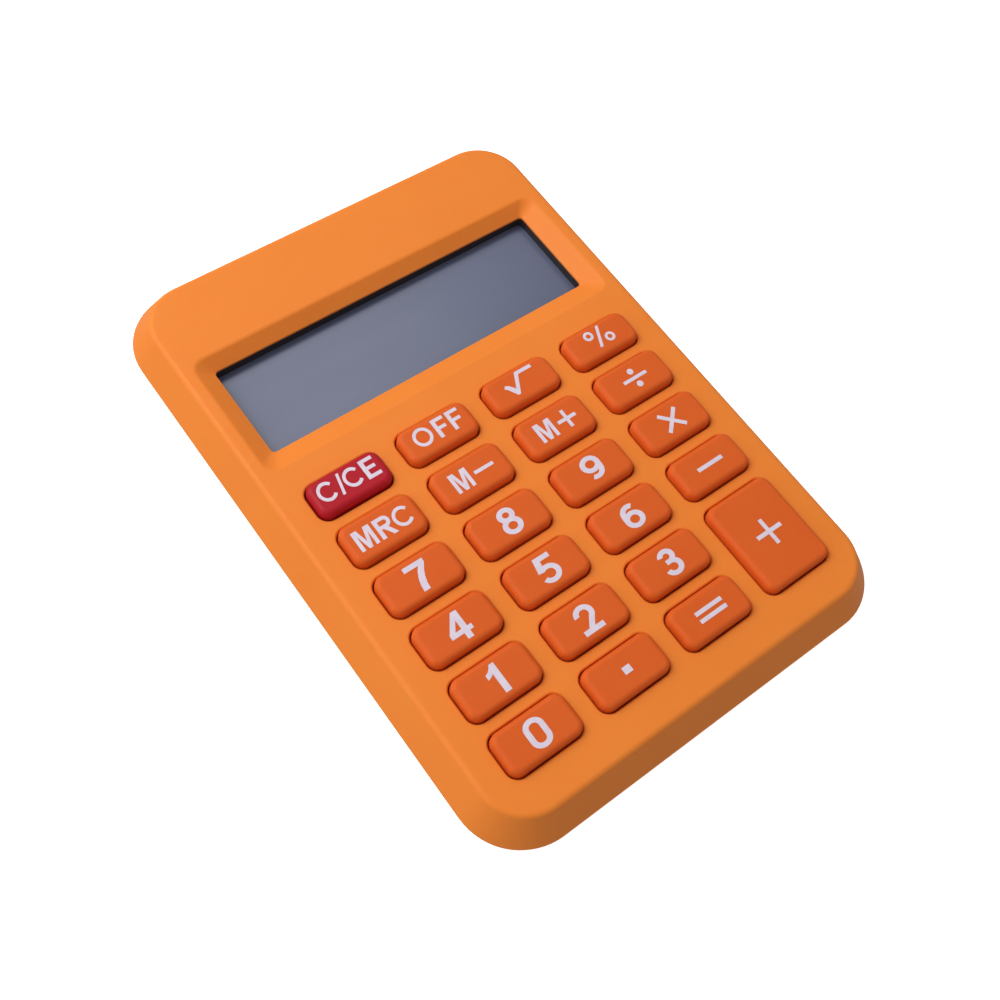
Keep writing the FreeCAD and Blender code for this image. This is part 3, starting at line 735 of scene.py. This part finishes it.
def print_legends():
    """Prints each key's sign as a thin slab of ink that stands a little proud of the key."""
    ink = printed_ink()
    for key, signs in LEGENDS.items():
        low, high = (Vector(corner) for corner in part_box(key))
        middle = (low + high) / 2
        lift = TOP_ROW_LIFT * MM if key in TOP_ROW else 0.0
        pieces = []
        for drawing, shift, width in signs:
            pen = Pen(BROAD if drawing.__name__.startswith("figure") else MEDIUM)
            drawing(pen)
            bpy.ops.object.mode_set(mode="OBJECT")
            pen.piece.scale = (width * MM, MM, MM)
            pen.piece.location = (middle.x + shift * MM, middle.y + lift, KEY_TOP - INK_SUNK * MM)
            pieces.append(pen.piece)
        bpy.ops.object.select_all(action="DESELECT")
        for piece in pieces:
            piece.select_set(True)
        bpy.context.view_layer.objects.active = pieces[0]
        bpy.ops.object.transform_apply(location=True, rotation=True, scale=True)
        if len(pieces) > 1:
            bpy.ops.object.join()
        legend = bpy.context.object
        legend.name = key.replace("key", "legend")
        legend.data.materials.clear()
        legend.data.materials.append(ink)
        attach(legend, key)


# ---------------------------------------------------------------- rubber domes

# millimetres; foot and neck are radii, and the pad is sunk into the dome's top inside its rim
DOME = {"foot": 3.4, "neck": 2.4, "height": 2.2, "wall": 0.45, "shoulder": 0.4, "rim": 0.35, "sunk": 0.15,
        "merge": 0.001}
KEY_JOINTS = {joint["child"]: joint["name"] for joint in frame["joints"]}


def mould_dome(x, y, mat_top):
    """A silicone dome: a thin cone with a rounded shoulder, a contact pad and an open foot."""
    bpy.ops.object.select_all(action="DESELECT")
    height = DOME["height"] * MM
    bpy.ops.mesh.primitive_cone_add(vertices=32, radius1=DOME["foot"] * MM, radius2=DOME["neck"] * MM,
                                    depth=height, location=(x, y, mat_top + height / 2))
    dome = bpy.context.object
    bpy.ops.object.transform_apply(location=True, rotation=True, scale=True)
    bpy.ops.object.mode_set(mode="EDIT")
    mesh = bmesh.from_edit_mesh(dome.data)
    for face in mesh.faces:
        face.select_set(face.normal.z < -0.9)
    bmesh.update_edit_mesh(dome.data)
    bpy.ops.mesh.delete(type="ONLY_FACE")
    mesh = bmesh.from_edit_mesh(dome.data)
    for face in mesh.faces:
        face.select_set(face.normal.z > 0.9)
    bmesh.update_edit_mesh(dome.data)
    bpy.ops.mesh.bevel(offset=DOME["shoulder"] * MM, segments=4, affect="EDGES")
    bpy.ops.mesh.inset(thickness=DOME["rim"] * MM, depth=-DOME["sunk"] * MM)
    bpy.ops.mesh.select_all(action="SELECT")
    bpy.ops.mesh.remove_doubles(threshold=DOME["merge"] * MM)
    bpy.ops.object.mode_set(mode="OBJECT")
    wall = dome.modifiers.new("wall", "SOLIDIFY")
    wall.thickness = DOME["wall"] * MM
    wall.offset = -1.0
    bpy.ops.object.modifier_apply(modifier=wall.name)
    bpy.ops.object.shade_smooth_by_angle(angle=math.radians(35))
    return dome


def mould_domes():
    """One dome under each key, held by the casing in place of the CAD domes, which are hidden."""
    rubber = frame["nodes"]["rubber_domes"].data.materials[0]
    mat_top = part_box("rubber_domes")[0][2]
    for key, joint in KEY_JOINTS.items():
        low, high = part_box(key)
        x, y = (low[0] + high[0]) / 2, (low[1] + high[1]) / 2
        dome = mould_dome(x, y, mat_top)
        dome.name = key.replace("key", "dome")
        dome.data.materials.append(rubber)
        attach(dome, "casing")
        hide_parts("rubber_domes")
        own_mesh(dome)


# ---------------------------------------------------------------- stage

FLOOR_SIZE = 6.0
FLOOR_DROP = 0.02 * MM


def lay_floor():
    """Lays the floor a hair below the feet, unseen by the light that the case and the display gather."""
    bpy.ops.object.select_all(action="DESELECT")
    bpy.ops.mesh.primitive_plane_add(size=FLOOR_SIZE, location=(0.0, 0.0, -FLOOR_DROP))
    floor = bpy.context.object
    floor.name = "floor"
    floor.data.materials.append(studio_paper())
    floor.visible_diffuse = False
    floor.visible_glossy = False


place_camera()
light_studio()
lay_floor()
finish_nodes()
print_legends()
mould_domes()
